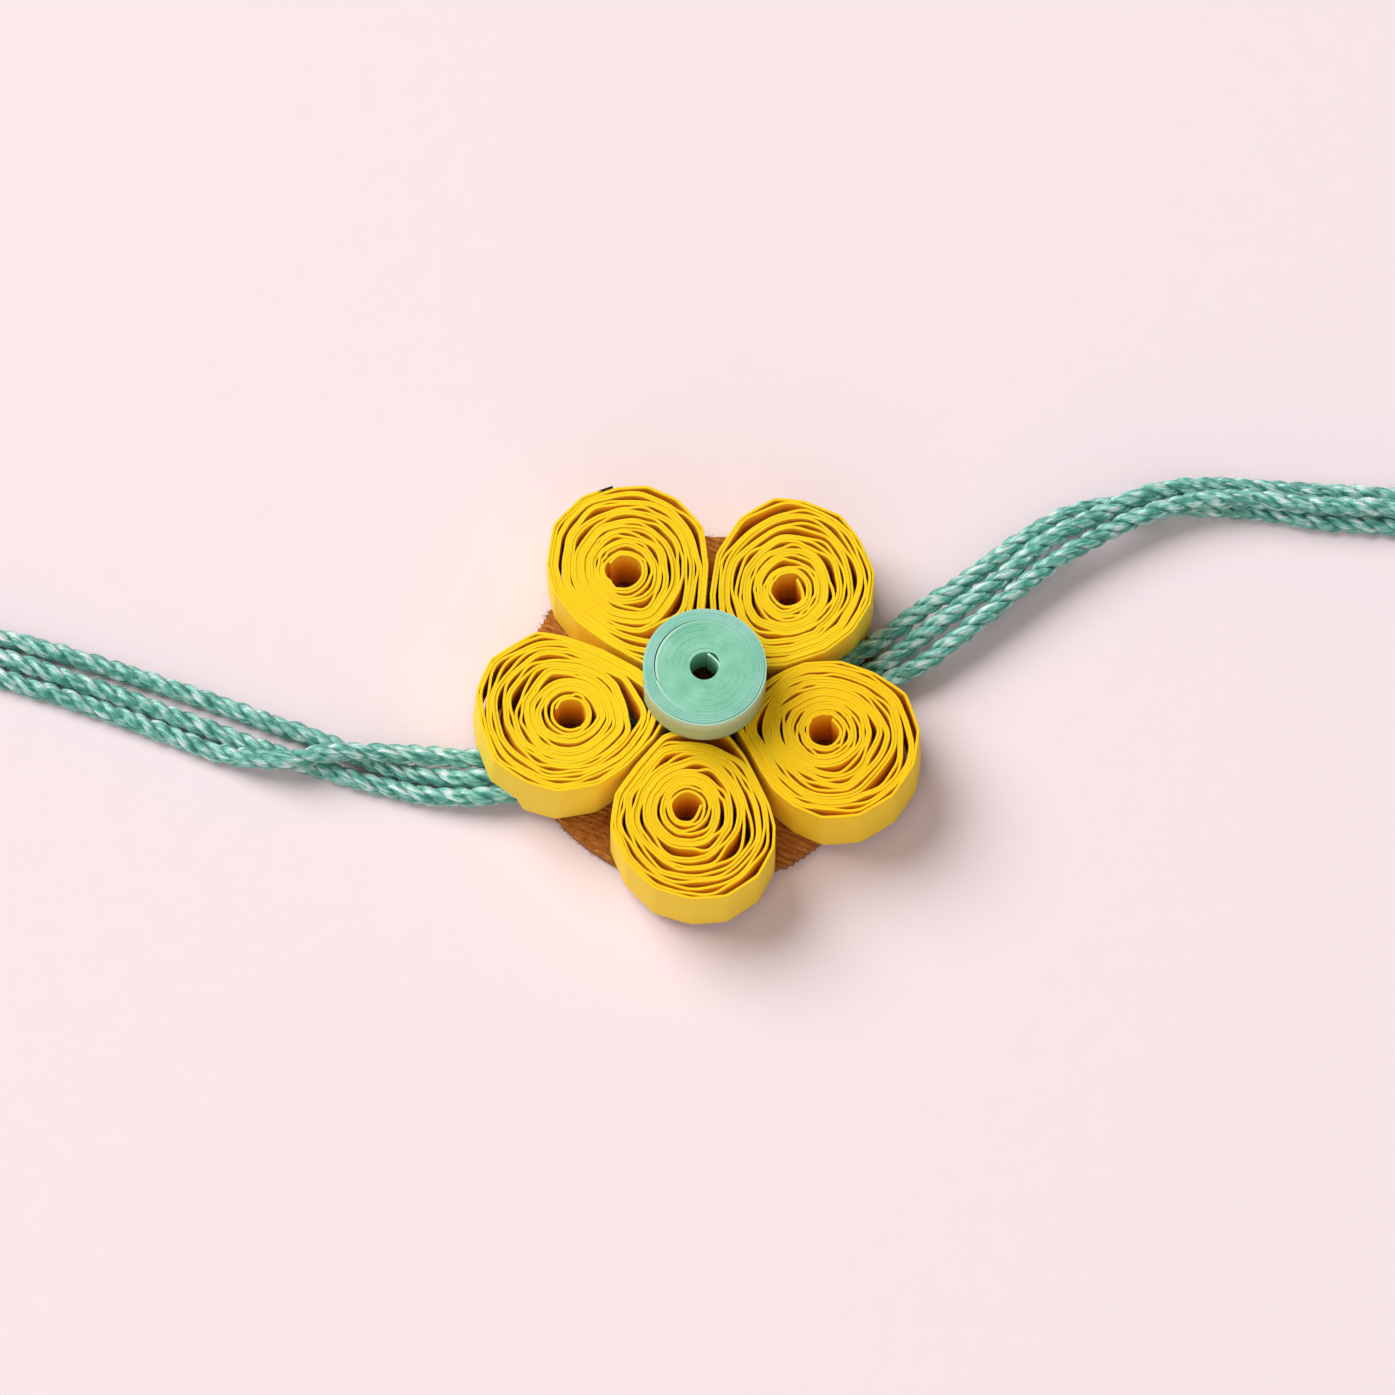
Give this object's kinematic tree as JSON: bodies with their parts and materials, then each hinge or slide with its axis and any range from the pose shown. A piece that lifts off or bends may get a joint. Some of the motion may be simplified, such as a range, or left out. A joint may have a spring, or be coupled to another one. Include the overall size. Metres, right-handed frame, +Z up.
{
  "type": "quilled paper flower",
  "caption": "Flower of loosely rolled paper coils round a tight centre coil, on a round cloth base disc, with twisted threads running out to both sides and ending in knots.",
  "frame": {"origin": "centre of the base disc's flat underside, which lies on the surface", "axes": "+Z up, out of the flower's face; +X along the threads, towards the side where they leave between two petals; +Y from the single petal at the flower's bottom towards the gap between the two upper petals"},
  "size_m": [0.144, 0.034, 0.0095],
  "materials": {
    "base_cloth": "matt brown ribbed stiff cloth with a cut, slightly fuzzy edge",
    "petal_paper": "matt warm yellow coloured paper strip, paler along the cut edges",
    "centre_paper": "matt teal green coloured paper strip, tightly rolled",
    "centre_wrap_paper": "matt slightly bluer and paler teal paper strip",
    "thread": "glossy twisted three-ply teal cotton thread"
  },
  "bodies": {
    "root": {"base_disc": "base_cloth", "petal_north_west": "petal_paper", "petal_north_east": "petal_paper", "petal_west": "petal_paper", "petal_east": "petal_paper", "petal_south": "petal_paper", "centre_coil": "centre_paper", "centre_outer_wrap": "centre_wrap_paper", "left_strand_top": "thread", "left_strand_mid": "thread", "left_strand_low": "thread", "right_strand_top": "thread", "right_strand_mid": "thread", "right_strand_low": "thread", "left_thread_coil": "thread", "right_thread_coil": "thread", "left_end_knot": "thread", "right_end_knot": "thread"}
  },
  "joints": []
}
